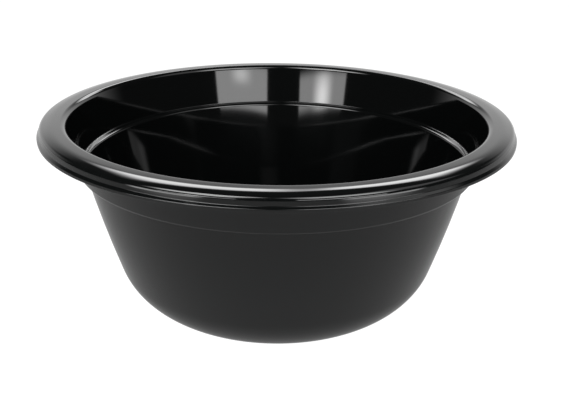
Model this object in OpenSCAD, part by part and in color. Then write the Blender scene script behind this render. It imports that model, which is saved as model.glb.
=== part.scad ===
// Round washing up bowl, moulded in one piece with a rolled rim.
// The outline is drawn once, as the inside face of the wall, and turned about Z.
// Millimetres, +Z up, origin at the centre of the underside.

/* [Overall] */
// Diameter over the lip at the foot of the rim
rim_d = 360; // [352:1:420]
// Height from the table to the top of the rim
bowl_h = 152; // [142:1:190]
// Thickness of the wall, the same all over
wall = 2.2; // [1.6:0.1:2.8]

/* [Base] */
// Diameter of the flat underside, where the rounded corner starts
base_d = 156; // [130:1:180]
// Radius of the corner between underside and side, on the outside
corner_r = 51; // [40:1:56]
// Diameter of the dished middle of the underside
dish_d = 134; // [90:1:140]
// Height of the dished middle above the table
dish_h = 1.2; // [0.6:0.1:2.4]
// Width of the slope round the dished middle
dish_slope = 3; // [2:0.5:6]
// Radius that rounds both ends of that slope
dish_r = 3; // [1:0.5:8]
// Diameter of the moulding gate's mark under the middle
gate_d = 9; // [6:0.5:14]
// How far the gate's mark stands out of the dish
gate_h = 0.5; // [0.2:0.1:0.5]

/* [Side] */
// Inside diameter at the belly, where the side turns a little steeper
belly_d = 270; // [256:1:284]
// Height of the belly
belly_h = 70; // [58:1:84]
// Radius that rounds the turn at the belly
belly_r = 800; // [200:10:1000]
// Inside diameter just below the stacking step
step_d = 295; // [285:1:305]
// Height of the stacking step, inside
step_h = 117.4; // [104:0.2:128]
// Width of the stacking step
step_w = 4.7; // [3:0.1:7]
// How far the step's ledge rises towards the side
step_rise = 0.4; // [0:0.1:1]
// Radius on the inner edge of the step
step_nose_r = 2.7; // [0.5:0.1:4]
// Radius in the corner of the step
step_corner_r = 1; // [0.2:0.1:2]

/* [Rim] */
// Width of the rolled rim, from the top of the side to the lip
rim_w = 20.5; // [18:0.5:28]
// Depth of the rim, from its top to the outer edge of the lip
rim_depth = 7.9; // [7:0.1:12]
// Radius between the side and the top of the rim
mouth_r = 4.5; // [3:0.5:6]
// Width of the sloping part of the rim's top
crown_slope_w = 7; // [5:0.5:8]
// Fall of the sloping part of the rim's top
crown_slope_h = 1.5; // [0.6:0.1:1.8]
// Radius that rounds the rim's top
crown_r = 30; // [15:1:40]
// Radius of the rim's shoulder, between its top and the skirt
shoulder_r = 3.2; // [2:0.1:4]
// How far the skirt spreads on its way down
skirt_w = 0.2; // [0:0.1:1.6]
// How far the lip flares out of the skirt
lip_w = 1.8; // [1.2:0.1:2.6]
// Height over which the lip flares
lip_h = 1.3; // [1:0.1:2]
// Radius on the edges of the lip
lip_r = 0.5; // [0.2:0.1:0.6]

/* [Hidden] */

arc_step = 9; // widest turn of one straight facet in a rounded corner, degrees
turned_fn = 180; // facets round the bowl

function along(p, q) = (q - p) / norm(q - p);
function right_of(v) = [v[1], -v[0]];
function turn(a, b) = atan2(a[0] * b[1] - a[1] * b[0], a * b);
function place(v) = [v[0], v[1]];

// Where the line from p along a reaches the height z, or the radius r
function at_height(p, a, z) = p + a * ((z - p[1]) / a[1]);
function at_radius(p, a, r) = p + a * ((r - p[0]) / a[0]);

// Each vertex is [radius, height, rounding]. The turn at vertex i of the closed outline v
function before(v, i) = place(v[(i + len(v) - 1) % len(v)]);
function after(v, i) = place(v[(i + 1) % len(v)]);
function turn_at(v, i) =
    turn(along(before(v, i), place(v[i])), along(place(v[i]), after(v, i)));
function reach(v, i) = v[i][2] * tan(abs(turn_at(v, i)) / 2);
// Share of its rounding that a vertex keeps, where two roundings meet on one edge
function share(v, i, j) =
    reach(v, i) + reach(v, j) == 0
        ? 1
        : min(1, norm(place(v[i]) - place(v[j])) / (reach(v, i) + reach(v, j)));
function rounding(v, i) =
    v[i][2] * min(share(v, i, (i + 1) % len(v)), share(v, i, (i + len(v) - 1) % len(v)));

// Points that round vertex i by an arc of radius r
function arc_at(v, i, r) =
    let (p = place(v[i]),
         a = along(before(v, i), p),
         t = turn_at(v, i),
         start = p - a * r * tan(abs(t) / 2),
         centre = start - right_of(a) * r * sign(t),
         from = atan2(start[1] - centre[1], start[0] - centre[0]),
         n = max(2, ceil(abs(t) / arc_step)))
    r == 0 ? [p] : [for (k = [0:n]) centre + r * [cos(from + t * k / n), sin(from + t * k / n)]];
function rounded(v) = [for (i = [0:len(v) - 1]) each arc_at(v, i, rounding(v, i))];

// The vertices of path v moved to its right by d, without its two ends
function beside(v, d) =
    [for (i = [1:len(v) - 2])
        let (a = right_of(along(place(v[i - 1]), place(v[i]))),
             b = right_of(along(place(v[i]), place(v[i + 1]))),
             p = place(v[i]) + d * (a + b) / (1 + a * b),
             r = v[i][2] == 0 ? 0 : max(0, v[i][2] + d * sign(turn(a, b))))
        [p[0], p[1], r]];
function reversed(v) = [for (i = [len(v) - 1:-1:0]) v[i]];

// Base: the side leaves the corner's arc as a tangent that passes through the belly
floor_z = dish_h + wall;
dish_edge = dish_d / 2;
belly = [belly_d / 2, belly_h];
corner_centre = [base_d / 2, corner_r];
to_belly = belly - corner_centre;
side_angle = atan2(to_belly[1], to_belly[0]) + asin((corner_r - wall) / norm(to_belly));
corner = at_height(belly, [cos(side_angle), sin(side_angle)], wall);

// Rim: places counted inwards and upwards from the edge of the lip
rim_r = rim_d / 2;
side_top_r = rim_r - rim_w;
lip_top = [rim_r, bowl_h - rim_depth];
skirt_foot = lip_top + [-lip_w, lip_h];
shoulder = [skirt_foot[0] - skirt_w, bowl_h - crown_slope_h];
crown = [shoulder[0] - crown_slope_w, bowl_h];

inside = [
    [0, floor_z, 0],
    [dish_edge - dish_slope, floor_z, dish_r],
    [dish_edge, wall, dish_r],
    [corner[0], corner[1], corner_r - wall],
    [belly[0], belly[1], belly_r],
    [step_d / 2, step_h, step_nose_r],
    [step_d / 2 + step_w, step_h + step_rise, step_corner_r],
    [side_top_r, bowl_h, mouth_r],
    [crown[0], crown[1], crown_r],
    [shoulder[0], shoulder[1], shoulder_r],
    [skirt_foot[0], skirt_foot[1], lip_r],
    [lip_top[0], lip_top[1], lip_r]
];
outside = beside(inside, wall);

// The lip ends in an upright edge, where its inner face reaches the rim's full radius
lip_inner = place(outside[len(outside) - 1]);
lip_bottom = at_radius(lip_inner, along(skirt_foot, lip_top), rim_r);

outline = concat(
    inside,
    [[lip_bottom[0], lip_bottom[1], lip_r]],
    reversed(outside),
    [[gate_d / 2, dish_h, 0],
     [gate_d / 2, dish_h - gate_h, 0],
     [0, dish_h - gate_h, 0]]
);

module bowl() {
    color("#1a1b1b")
    rotate_extrude($fn = turned_fn)
        polygon(rounded(outline));
}

bowl();
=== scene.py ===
import math

import bpy
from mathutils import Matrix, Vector


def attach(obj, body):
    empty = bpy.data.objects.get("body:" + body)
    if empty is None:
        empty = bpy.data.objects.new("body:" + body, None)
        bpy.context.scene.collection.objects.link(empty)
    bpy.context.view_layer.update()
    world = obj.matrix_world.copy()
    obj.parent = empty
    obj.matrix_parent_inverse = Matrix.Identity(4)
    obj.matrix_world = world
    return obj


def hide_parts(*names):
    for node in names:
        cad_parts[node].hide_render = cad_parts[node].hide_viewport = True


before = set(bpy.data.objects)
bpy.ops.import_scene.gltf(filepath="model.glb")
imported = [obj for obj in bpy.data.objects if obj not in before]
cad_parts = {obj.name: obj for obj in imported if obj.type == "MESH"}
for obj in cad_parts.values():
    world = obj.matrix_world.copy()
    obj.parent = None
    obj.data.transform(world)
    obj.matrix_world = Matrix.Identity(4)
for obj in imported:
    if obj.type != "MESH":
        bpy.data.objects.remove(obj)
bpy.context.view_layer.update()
print("frame loaded")

mm = 0.001  # the bowl's sizes, and the camera's, are in millimetres


def hexColor(code):  # "#rrggbb" in sRGB to the linear colour that a socket takes
    channels = [int(code[i:i + 2], 16) / 255 for i in (1, 3, 5)]
    return [c / 12.92 if c <= 0.04045 else ((c + 0.055) / 1.055) ** 2.4 for c in channels] + [1]


def addNode(tree, kind, links=None, **settings):
    node = tree.nodes.new(kind)
    for name, value in settings.items():
        setattr(node, name, value)
    for socket, source in (links or {}).items():
        target = node.inputs[socket]
        if isinstance(source, bpy.types.NodeSocket):
            tree.links.new(source, target)
        else:
            target.default_value = source
    return node


# The bowl's section: corners of the inside face, each [radius, height, rounding]

bowl = {
    "rimD": 360, "height": 152, "wall": 2.2,
    "baseD": 158.5, "cornerR": 50.4,                   # flat underside and the corner round it
    "dishD": 134, "dishH": 1.2, "dishSlope": 3, "dishR": 3,  # hollow middle of the underside
    "gateD": 9, "gateH": 0.5,                          # mark of the moulding gate, underneath
    "bellyD": 276, "bellyH": 78, "bellyR": 1100,       # where the side turns a little steeper
    "stepD": 293.4, "stepH": 117.4, "stepW": 4.9, "stepRise": 0.4,
    "stepNoseR": 3.6, "stepCornerR": 1,                # the stacking step's edge, and its inner corner
    "rimW": 20.5, "rimDepth": 7.9, "mouthR": 4.5,      # depth is from the top to the lip's outer edge
    "crownSlopeW": 7, "crownSlopeH": 1.5, "crownR": 30,  # sloping part of the rim's top
    "shoulderR": 3.2, "skirtW": 0.2,
    "lipW": 1.8, "lipH": 1.3, "lipR": 0.5,
    "facets": 236,                                     # round the bowl
    "arcStep": 3, "arcLeast": 4,                       # degrees of a rounded corner's facet, fewest facets
    "weld": 0.002,                                     # points closer than this are one: seam and poles
}


def vec(p):
    return Vector((p[0], p[1]))


def turnBetween(a, b):  # signed angle from direction a to direction b
    return math.atan2(a.x * b.y - a.y * b.x, a.dot(b))


def rightOf(a):
    return Vector((a.y, -a.x))


def besideBy(path, d):  # the corners of a path moved to its right by d, without its ends
    moved = []
    for before, here, after in zip(path, path[1:], path[2:]):
        a = (vec(here) - vec(before)).normalized()
        b = (vec(after) - vec(here)).normalized()
        p = vec(here) + (rightOf(a) + rightOf(b)) * (d / (1 + a.dot(b)))
        grown = here[2] + math.copysign(d, turnBetween(a, b))
        moved.append([p.x, p.y, max(0, grown) if here[2] else 0])
    return moved


def roundedCorners(outline, arcStep, arcLeast):  # every corner of a closed outline replaced by its arc
    count = len(outline)
    spots = [vec(c) for c in outline]
    ways = [(spots[(i + 1) % count] - spots[i]).normalized() for i in range(count)]
    lengths = [(spots[(i + 1) % count] - spots[i]).length for i in range(count)]
    turns = [turnBetween(ways[i - 1], ways[i]) for i in range(count)]
    reach = [c[2] * math.tan(abs(t) / 2) for c, t in zip(outline, turns)]
    points = []
    for i in range(count):
        nextUse = reach[i] + reach[(i + 1) % count]
        lastUse = reach[i] + reach[i - 1]
        keep = min(1, lengths[i] / nextUse if nextUse else 1, lengths[i - 1] / lastUse if lastUse else 1)
        radius = outline[i][2] * keep
        if radius == 0:
            points.append(spots[i])
            continue
        start = spots[i] - ways[i - 1] * (reach[i] * keep)
        side = math.copysign(1, turns[i])
        centre = start - rightOf(ways[i - 1]) * (radius * side)
        first = math.atan2(start.y - centre.y, start.x - centre.x)
        steps = max(arcLeast, math.ceil(math.degrees(abs(turns[i])) / arcStep))
        for k in range(steps + 1):
            angle = first + turns[i] * k / steps
            points.append(centre + Vector((math.cos(angle), math.sin(angle))) * radius)
    return points


def bowlSection(s):
    belly = Vector((s["bellyD"] / 2, s["bellyH"]))
    toBelly = belly - Vector((s["baseD"] / 2, s["cornerR"]))
    lean = math.atan2(toBelly.y, toBelly.x) + math.asin((s["cornerR"] - s["wall"]) / toBelly.length)
    cornerX = belly.x - (belly.y - s["wall"]) / math.tan(lean)
    rimR = s["rimD"] / 2
    lipTop = Vector((rimR, s["height"] - s["rimDepth"]))
    skirtFoot = lipTop + Vector((-s["lipW"], s["lipH"]))
    shoulder = Vector((skirtFoot.x - s["skirtW"], s["height"] - s["crownSlopeH"]))
    floorZ, dishEdge = s["dishH"] + s["wall"], s["dishD"] / 2
    inside = [
        [0, floorZ, 0],
        [dishEdge - s["dishSlope"], floorZ, s["dishR"]],
        [dishEdge, s["wall"], s["dishR"]],
        [cornerX, s["wall"], s["cornerR"] - s["wall"]],
        [belly.x, belly.y, s["bellyR"]],
        [s["stepD"] / 2, s["stepH"], s["stepNoseR"]],
        [s["stepD"] / 2 + s["stepW"], s["stepH"] + s["stepRise"], s["stepCornerR"]],
        [rimR - s["rimW"], s["height"], s["mouthR"]],
        [shoulder.x - s["crownSlopeW"], s["height"], s["crownR"]],
        [shoulder.x, shoulder.y, s["shoulderR"]],
        [skirtFoot.x, skirtFoot.y, s["lipR"]],
        [lipTop.x, lipTop.y, s["lipR"]],
    ]
    outside = besideBy(inside, s["wall"])
    lipInner = vec(outside[-1])
    flare = (lipTop - skirtFoot).normalized()
    lipBottom = lipInner + flare * ((rimR - lipInner.x) / flare.x)
    outline = inside + [[lipBottom.x, lipBottom.y, s["lipR"]]] + outside[::-1] + [
        [s["gateD"] / 2, s["dishH"], 0],
        [s["gateD"] / 2, s["dishH"] - s["gateH"], 0],
        [0, s["dishH"] - s["gateH"], 0],
    ]
    return [Vector((p.x, 0, p.y)) * mm for p in roundedCorners(outline, s["arcStep"], s["arcLeast"])]


def turnedTree():  # turns a section about Z
    tree = bpy.data.node_groups.new("turnedSection", "GeometryNodeTree")
    face = tree.interface
    face.new_socket("Section", in_out="INPUT", socket_type="NodeSocketGeometry")
    face.new_socket("Facets", in_out="INPUT", socket_type="NodeSocketInt")
    face.new_socket("Weld", in_out="INPUT", socket_type="NodeSocketFloat")
    face.new_socket("Plastic", in_out="INPUT", socket_type="NodeSocketMaterial")
    face.new_socket("Bowl", in_out="OUTPUT", socket_type="NodeSocketGeometry")
    given = addNode(tree, "NodeGroupInput").outputs
    size = addNode(tree, "GeometryNodeAttributeDomainSize", {"Geometry": given["Section"]}).outputs
    columns = addNode(tree, "ShaderNodeMath", {0: given["Facets"], 1: 1}, operation="ADD").outputs[0]
    grid = addNode(tree, "GeometryNodeMeshGrid",
                   {"Vertices X": size["Point Count"], "Vertices Y": columns}).outputs["Mesh"]
    index = addNode(tree, "GeometryNodeInputIndex").outputs[0]
    share = addNode(tree, "ShaderNodeMath", {0: index, 1: columns}, operation="DIVIDE").outputs[0]
    row = addNode(tree, "ShaderNodeMath", {0: share}, operation="FLOOR").outputs[0]
    column = addNode(tree, "ShaderNodeMath", {0: index, 1: columns}, operation="MODULO").outputs[0]
    turn = addNode(tree, "ShaderNodeMath", {0: column, 1: given["Facets"]}, operation="DIVIDE").outputs[0]
    angle = addNode(tree, "ShaderNodeMath", {0: turn, 1: math.tau}, operation="MULTIPLY").outputs[0]
    place = addNode(tree, "GeometryNodeInputPosition").outputs[0]
    point = addNode(tree, "GeometryNodeSampleIndex",
                    {"Geometry": given["Section"], "Value": place, "Index": row}, data_type="FLOAT_VECTOR")
    turned = addNode(tree, "ShaderNodeVectorRotate", {"Vector": point.outputs[0], "Angle": angle},
                     rotation_type="Z_AXIS")
    moved = addNode(tree, "GeometryNodeSetPosition", {"Geometry": grid, "Position": turned.outputs[0]})
    closed = addNode(tree, "GeometryNodeMergeByDistance",
                     {"Geometry": moved.outputs[0], "Distance": given["Weld"]})
    smooth = addNode(tree, "GeometryNodeSetShadeSmooth", {"Geometry": closed.outputs[0]})
    real = addNode(tree, "GeometryNodeRealizeInstances", {"Geometry": smooth.outputs[0]})
    dressed = addNode(tree, "GeometryNodeSetMaterial",
                      {"Geometry": real.outputs[0], "Material": given["Plastic"]})
    addNode(tree, "NodeGroupOutput", {"Bowl": dressed.outputs[0]})
    return tree


def setInput(modifier, name, value):
    for item in modifier.node_group.interface.items_tree:
        if item.item_type == "SOCKET" and item.in_out == "INPUT" and item.name == name:
            modifier[item.identifier] = value


def makeBowl(s, plastic):
    section = bowlSection(s)
    source = bpy.data.meshes.new("bowlSection")
    source.from_pydata(section, [(i, i + 1) for i in range(len(section) - 1)], [])
    draft = bpy.data.objects.new("bowlDraft", source)
    bpy.context.scene.collection.objects.link(draft)
    turner = draft.modifiers.new("turned", "NODES")
    turner.node_group = turnedTree()
    setInput(turner, "Facets", s["facets"])
    setInput(turner, "Weld", s["weld"] * mm)
    setInput(turner, "Plastic", plastic)
    solved = draft.evaluated_get(bpy.context.evaluated_depsgraph_get())
    mesh = bpy.data.meshes.new_from_object(solved)
    mesh.name = "mouldedBowl"
    bpy.data.objects.remove(draft)
    piece = bpy.data.objects.new("mouldedBowl", mesh)
    bpy.context.scene.collection.objects.link(piece)
    print("bowl:", len(section), "points in the section,", len(mesh.polygons), "faces")
    return piece


# Polypropylene with black masterbatch, injection moulded in a polished tool:
# nearly no colour of its own, so the eye sees what it mirrors, a little softened by orange peel.

plasticLook = {
    "black": "#060707", "ior": 1.49, "roughness": 0.05,
    "peelSize": 2.4, "peelDepth": 0.0006,      # mm, orange peel
    "waveSize": 55, "waveDepth": 0.02,         # mm, slow waviness of a wall that shrank as it cooled
    "smearSize": 55.6,                         # mm, wiped patches
    "smearLeast": 0.8, "smearMost": 1.25,      # share of the roughness, wiped clean and dull
}


def blackPolypropylene(s):
    material = bpy.data.materials.new("blackPolypropylene")
    material.use_nodes = True
    tree = material.node_tree
    shader = tree.nodes["Principled BSDF"]
    shader.inputs["IOR"].default_value = s["ior"]
    shader.inputs["Base Color"].default_value = hexColor(s["black"])
    place = addNode(tree, "ShaderNodeTexCoord").outputs["Object"]
    peel = addNode(tree, "ShaderNodeTexNoise",
                   {"Vector": place, "Scale": 1 / (s["peelSize"] * mm), "Detail": 2})
    wave = addNode(tree, "ShaderNodeTexNoise",
                   {"Vector": place, "Scale": 1 / (s["waveSize"] * mm), "Detail": 1})
    smear = addNode(tree, "ShaderNodeTexNoise",
                    {"Vector": place, "Scale": 1 / (s["smearSize"] * mm), "Detail": 4})
    rough = addNode(tree, "ShaderNodeMapRange",
                    {"Value": smear.outputs["Fac"], "To Min": s["roughness"] * s["smearLeast"],
                     "To Max": s["roughness"] * s["smearMost"]})
    tree.links.new(rough.outputs[0], shader.inputs["Roughness"])
    slow = addNode(tree, "ShaderNodeBump", {"Height": wave.outputs["Fac"], "Distance": s["waveDepth"] * mm})
    fine = addNode(tree, "ShaderNodeBump",
                   {"Height": peel.outputs["Fac"], "Distance": s["peelDepth"] * mm,
                    "Normal": slow.outputs[0]})
    tree.links.new(fine.outputs[0], shader.inputs["Normal"])
    return material


piece = makeBowl(bowl, blackPolypropylene(plasticLook))
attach(piece, "root")
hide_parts("bowl")


# The studio: a white table, a bright haze behind, and lamps with soft edges. Sizes in metres,
# brightness in times white.

studio = {
    "white": "#f4f4f4",
    "tableSide": 8.0, "tableGap": 0.0001,              # the gap keeps the foot and the table apart
    "tableSeen": 1.15, "tableCloth": 0.12,             # glow to the camera, and share of lit cloth
    "tableNear": 0.36, "tableFar": 1.15,               # glow in the bowl's gloss, in front and behind
    "nearY": -0.1, "farY": 1.2,
    "hazeBehind": 1.05, "air": 0.035, "below": 0.5,    # low behind the bowl, all round, and under the table
    "hazeY": (0.25, 0.75), "hazeZ": (0.5, 0.25),       # starts and is full, as parts of a direction
    "belowZ": (-0.05, -0.15),
}

# soft, coreAt and coreSize are shares of a lamp's width and height. core is what its middle adds.
# Each strip's mirror image is a bright panel in the back wall, on the other side.

lamps = {
    "stripLeft": {
        "place": (-0.386, -0.62, 0.328), "aim": (0, 0.15, 0.13), "width": 0.436, "height": 0.115,
        "brightness": 5.0, "soft": (0.04, 0.25),
        "core": 2.4, "coreAt": (0.5, 0.4), "coreSize": (0.25, 0.8)},
    "stripRight": {
        "place": (0.30, -0.62, 0.328), "aim": (0, 0.15, 0.13), "width": 0.46, "height": 0.115,
        "brightness": 5.5, "soft": (0.04, 0.10),
        "core": 1.1, "coreAt": (0.5, 0.75), "coreSize": (0.25, 0.25)},
    "boxLeft": {
        "place": (-0.50, -0.55, 1.00), "aim": (0, 0, 0.15), "width": 0.90, "height": 0.60,
        "brightness": 10.5, "soft": (0.3, 0.3)},
    "boxRight": {
        "place": (0.40, -0.55, 1.00), "aim": (0, 0, 0.15), "width": 0.90, "height": 0.65,
        "brightness": 7.5, "soft": (0.3, 0.3)},
    "overhead": {
        "place": (-0.30, -0.40, 1.15), "aim": (0, 0, 0.15), "width": 0.65, "height": 0.15,
        "brightness": 16, "soft": (0.3, 0.3)},
    "side": {
        "place": (0.50, -0.10, 0.75), "aim": (0, 0, 0.15), "width": 0.60, "height": 0.60,
        "brightness": 1, "soft": (0.3, 0.3)},
    "backLeft": {
        "place": (-0.25, 1.25, 1.00), "aim": (0, 0, 0.15), "width": 0.85, "height": 0.50,
        "brightness": 6, "soft": (0.3, 0.3)},
    "backRight": {
        "place": (0.45, 1.60, 1.15), "aim": (0, 0, 0.15), "width": 0.85, "height": 0.50,
        "brightness": 6, "soft": (0.3, 0.3)},
    "fillLeft": {
        "place": (-0.38, -0.42, 0.12), "aim": (0, 0, 0.15), "width": 0.35, "height": 0.20,
        "brightness": 5.5, "soft": (0.2, 0.15)},
    "fillRight": {
        "place": (0.38, -0.45, 0.11), "aim": (0, 0, 0.15), "width": 0.40, "height": 0.20,
        "brightness": 5, "soft": (0.2, 0.15)},
}


def whiteTable(s):  # white to the camera, clear from below, and in the bowl's gloss dimmer in front
    material = bpy.data.materials.new("whiteTable")
    material.use_nodes = True
    tree = material.node_tree
    tree.nodes.clear()
    place = addNode(tree, "ShaderNodeTexCoord").outputs["Object"]
    depth = addNode(tree, "ShaderNodeSeparateXYZ", {0: place}).outputs["Y"]
    mirrored = addNode(tree, "ShaderNodeMapRange",
                       {"Value": depth, "From Min": s["nearY"], "From Max": s["farY"],
                        "To Min": s["tableNear"], "To Max": s["tableFar"]},
                       interpolation_type="SMOOTHSTEP").outputs[0]
    cloth = addNode(tree, "ShaderNodeBsdfDiffuse", {"Color": hexColor(s["white"])}).outputs[0]
    seenGlow = addNode(tree, "ShaderNodeEmission", {"Strength": s["tableSeen"]}).outputs[0]
    seen = addNode(tree, "ShaderNodeMixShader", {0: s["tableCloth"], 1: seenGlow, 2: cloth}).outputs[0]
    glossGlow = addNode(tree, "ShaderNodeEmission", {"Strength": mirrored}).outputs[0]
    gloss = addNode(tree, "ShaderNodeMixShader", {0: s["tableCloth"], 1: glossGlow, 2: cloth}).outputs[0]
    ray = addNode(tree, "ShaderNodeLightPath").outputs
    toGloss = addNode(tree, "ShaderNodeMath", {0: ray["Is Glossy Ray"], 1: ray["Is Transmission Ray"]},
                      operation="MAXIMUM").outputs[0]
    unseen = addNode(tree, "ShaderNodeMixShader", {0: toGloss, 1: cloth, 2: gloss}).outputs[0]
    top = addNode(tree, "ShaderNodeMixShader", {0: ray["Is Camera Ray"], 1: unseen, 2: seen}).outputs[0]
    under = addNode(tree, "ShaderNodeNewGeometry").outputs["Backfacing"]
    clear = addNode(tree, "ShaderNodeBsdfTransparent").outputs[0]
    sided = addNode(tree, "ShaderNodeMixShader", {0: under, 1: top, 2: clear}).outputs[0]
    addNode(tree, "ShaderNodeOutputMaterial", {"Surface": sided})
    return material


def addTable(s):
    half, z = s["tableSide"] / 2, -s["tableGap"]
    mesh = bpy.data.meshes.new("table")
    corners = [(-half, -half, z), (half, -half, z), (half, half, z), (-half, half, z)]
    mesh.from_pydata(corners, [], [(0, 1, 2, 3)])
    mesh.materials.append(whiteTable(s))
    table = bpy.data.objects.new("table", mesh)
    bpy.context.scene.collection.objects.link(table)


def fadeAcross(tree, along, middle, far, near):  # 1 near a line across the lamp, 0 far from it
    offset = addNode(tree, "ShaderNodeMath", {0: along, 1: middle}, operation="SUBTRACT").outputs[0]
    apart = addNode(tree, "ShaderNodeMath", {0: offset}, operation="ABSOLUTE").outputs[0]
    return addNode(tree, "ShaderNodeMapRange", {"Value": apart, "From Min": far, "From Max": near},
                   interpolation_type="SMOOTHSTEP").outputs[0]


def addLamp(name, place, aim, width, height, brightness, soft,
            core=0, coreAt=(0.5, 0.5), coreSize=(0.5, 0.5)):
    lamp = bpy.data.lights.new(name, "AREA")
    lamp.shape = "RECTANGLE"
    lamp.size, lamp.size_y = width, height
    lamp.energy = brightness * math.pi * width * height  # watts of a lamp that shows this bright to the eye
    lamp.use_nodes = True
    tree = lamp.node_tree
    inLamp = addNode(tree, "ShaderNodeNewGeometry").outputs["Parametric"]
    spot = addNode(tree, "ShaderNodeSeparateXYZ", {0: inLamp}).outputs
    half = 0.5
    level, heat = 1, core
    for axis in (0, 1):
        edge = fadeAcross(tree, spot[axis], half, half, half - soft[axis])
        glow = fadeAcross(tree, spot[axis], coreAt[axis], coreSize[axis], 0)
        level = addNode(tree, "ShaderNodeMath", {0: level, 1: edge}, operation="MULTIPLY").outputs[0]
        heat = addNode(tree, "ShaderNodeMath", {0: heat, 1: glow}, operation="MULTIPLY").outputs[0]
    strength = addNode(tree, "ShaderNodeMath", {0: level, 1: heat, 2: level},
                       operation="MULTIPLY_ADD").outputs[0]
    tree.links.new(strength, tree.nodes["Emission"].inputs["Strength"])
    holder = bpy.data.objects.new(name, lamp)
    bpy.context.scene.collection.objects.link(holder)
    holder.location = place
    holder.rotation_euler = (Vector(aim) - Vector(place)).to_track_quat("-Z", "Y").to_euler()
    holder.visible_camera = False


def addWorld(s):  # white to the camera; in the bowl's gloss, haze low behind it and a dark room elsewhere
    world = bpy.data.worlds.new("studioAir")
    world.use_nodes = True
    tree = world.node_tree
    tree.nodes.clear()
    way = addNode(tree, "ShaderNodeTexCoord").outputs["Generated"]
    axes = addNode(tree, "ShaderNodeSeparateXYZ", {0: way}).outputs
    behind = addNode(tree, "ShaderNodeMapRange",
                     {"Value": axes["Y"], "From Min": s["hazeY"][0], "From Max": s["hazeY"][1]},
                     interpolation_type="SMOOTHSTEP").outputs[0]
    low = addNode(tree, "ShaderNodeMapRange",
                  {"Value": axes["Z"], "From Min": s["hazeZ"][0], "From Max": s["hazeZ"][1],
                   "To Max": s["hazeBehind"]},
                  interpolation_type="SMOOTHSTEP").outputs[0]
    below = addNode(tree, "ShaderNodeMapRange",
                    {"Value": axes["Z"], "From Min": s["belowZ"][0], "From Max": s["belowZ"][1],
                     "To Max": s["below"]},
                    interpolation_type="SMOOTHSTEP").outputs[0]
    haze = addNode(tree, "ShaderNodeMath", {0: behind, 1: low}, operation="MULTIPLY").outputs[0]
    bright = addNode(tree, "ShaderNodeMath", {0: haze, 1: below}, operation="MAXIMUM").outputs[0]
    room = addNode(tree, "ShaderNodeMath", {0: bright, 1: s["air"]}, operation="ADD").outputs[0]
    ray = addNode(tree, "ShaderNodeLightPath").outputs
    toCamera = ray["Is Camera Ray"]
    level = addNode(tree, "ShaderNodeMath", {0: room, 1: toCamera}, operation="MAXIMUM").outputs[0]
    mirrored = addNode(tree, "ShaderNodeMath", {0: ray["Is Glossy Ray"], 1: ray["Is Transmission Ray"]},
                       operation="MAXIMUM").outputs[0]
    shown = addNode(tree, "ShaderNodeMath", {0: mirrored, 1: toCamera}, operation="MAXIMUM").outputs[0]
    white = (1, 1, 1, 1)
    seen = addNode(tree, "ShaderNodeBackground", {"Color": white, "Strength": level}).outputs[0]
    air = addNode(tree, "ShaderNodeBackground", {"Color": white, "Strength": s["air"]}).outputs[0]
    mixed = addNode(tree, "ShaderNodeMixShader", {0: shown, 1: air, 2: seen}).outputs[0]
    addNode(tree, "ShaderNodeOutputWorld", {"Surface": mixed})
    bpy.context.scene.world = world


addTable(studio)
for name, lamp in lamps.items():
    addLamp(name, **lamp)
addWorld(studio)
print("studio set:", len(lamps), "lamps")


# The camera, as found from the photograph: low, close and a little turned

view = {
    "place": (0, -561.25, 307.62),                     # mm
    "pitch": 22.474, "yaw": -0.631, "roll": 0.714,     # degrees
    "lens": 47.05, "sensor": 36,                       # mm
}


def addCamera(s):
    data = bpy.data.cameras.new("camera")
    data.sensor_width, data.lens = s["sensor"], s["lens"]
    data.sensor_fit = "HORIZONTAL"
    camera = bpy.data.objects.new("camera", data)
    bpy.context.scene.collection.objects.link(camera)
    camera.location = Vector(s["place"]) * mm
    pitch, yaw, roll = (math.radians(s[k]) for k in ("pitch", "yaw", "roll"))
    forward = Vector((-math.sin(yaw) * math.cos(pitch), math.cos(yaw) * math.cos(pitch), -math.sin(pitch)))
    camera.rotation_euler = forward.to_track_quat("-Z", "Y").to_euler()
    camera.rotation_euler.rotate_axis("Z", roll)
    bpy.context.scene.camera = camera


addCamera(view)
bpy.context.scene.view_settings.view_transform = "Standard"
print("camera set")
